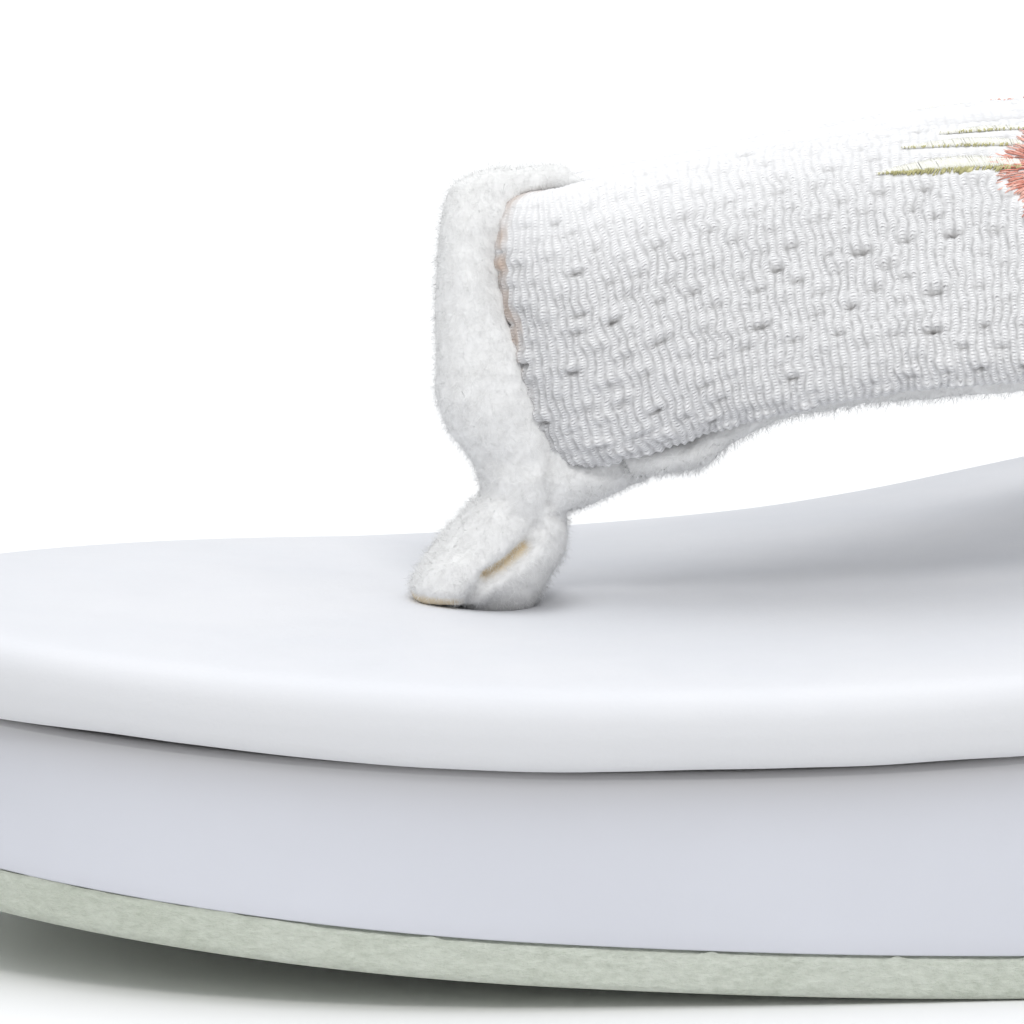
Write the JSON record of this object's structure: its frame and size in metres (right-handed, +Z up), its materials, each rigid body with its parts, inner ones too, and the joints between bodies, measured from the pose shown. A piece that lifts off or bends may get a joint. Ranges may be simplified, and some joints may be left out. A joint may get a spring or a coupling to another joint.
{
  "type": "zori sandal",
  "caption": "Low wedge zori sandal: padded insole, wrapped wedge, leather outsole, padded woven straps with a fleece toe thong.",
  "frame": {"origin": "on the floor under the middle of the sole's length, on the middle plane", "axes": "+X towards the heel, +Z up, the picture's camera looks at the -Y side"},
  "size_m": [0.24, 0.0846, 0.0577],
  "materials": {
    "insole_cover": "smooth white leather with a faint grain",
    "wrapped_side": "smooth cool white leather wrap",
    "outsole_leather": "pale grey green chrome tanned leather, fibrous cut edge",
    "strap_weave": "white crepe weave with raised cross ribs",
    "fleece": "soft white fleece pile"
  },
  "bodies": {
    "root": {"insole": "insole_cover", "midsole": "wrapped_side", "outsole": "outsole_leather", "straps": "strap_weave", "strap_lining_left": "fleece", "strap_lining_right": "fleece", "toe_thong": "fleece"}
  },
  "joints": []
}
